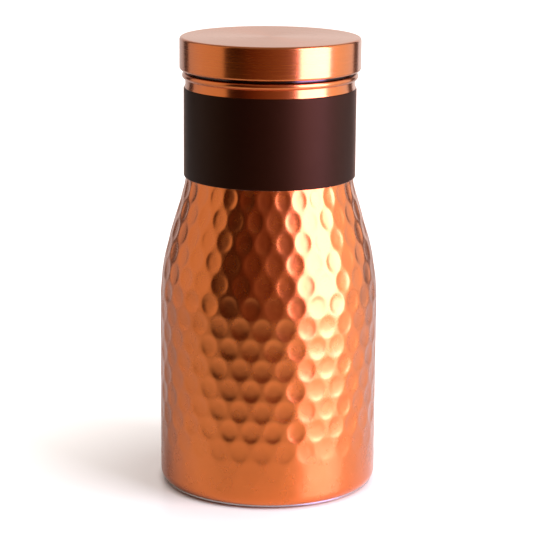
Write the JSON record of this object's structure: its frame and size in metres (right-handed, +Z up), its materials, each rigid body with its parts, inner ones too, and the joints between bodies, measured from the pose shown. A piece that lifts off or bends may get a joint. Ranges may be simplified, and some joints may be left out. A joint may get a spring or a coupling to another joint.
{
  "type": "copper water bottle",
  "caption": "Hammered copper water bottle with a wide threaded neck, a brown silicone grip sleeve and a flat screw lid.",
  "frame": {"origin": "on the table, under the bottle's axis, at the flat rim of the foot", "axes": "+Z up along the bottle's axis towards the lid; -Y faces the viewer"},
  "size_m": [0.095, 0.095, 0.197],
  "materials": {
    "hammered_copper": "hammered and satin polished copper sheet",
    "spun_copper": "spun copper sheet, fine rings",
    "turned_copper": "turned and polished copper",
    "brushed_copper": "copper sheet, brushed round the rim and in rings on top",
    "solder": "silver solder, satin",
    "brown_silicone": "moulded silicone, satin",
    "clear_silicone": "food-grade silicone, matt"
  },
  "bodies": {
    "vessel": {"vessel_shell": "hammered_copper", "base_disc": "spun_copper", "base_solder": "solder", "neck_ring": "turned_copper", "neck_solder": "solder", "grip_sleeve": "brown_silicone"},
    "seal": {"lid_seal": "clear_silicone"},
    "lid": {"lid_cap": "brushed_copper", "lid_thread_ring": "turned_copper", "lid_liner": "spun_copper"}
  },
  "joints": [
    {"name": "lid_rise", "type": "slide", "parent": "vessel", "child": "seal", "axis": [0, 0, 1], "range_m": [0, 0.024]},
    {"name": "lid_turn", "type": "hinge", "parent": "seal", "child": "lid", "pos_m": [0, 0, 0.185], "axis": [0, 0, 1], "range_deg": [0, 2160]}
  ],
  "couplings": [
    {"joint": "lid_rise", "follows": "lid_turn", "m_per_rad": 0.00063662}
  ]
}
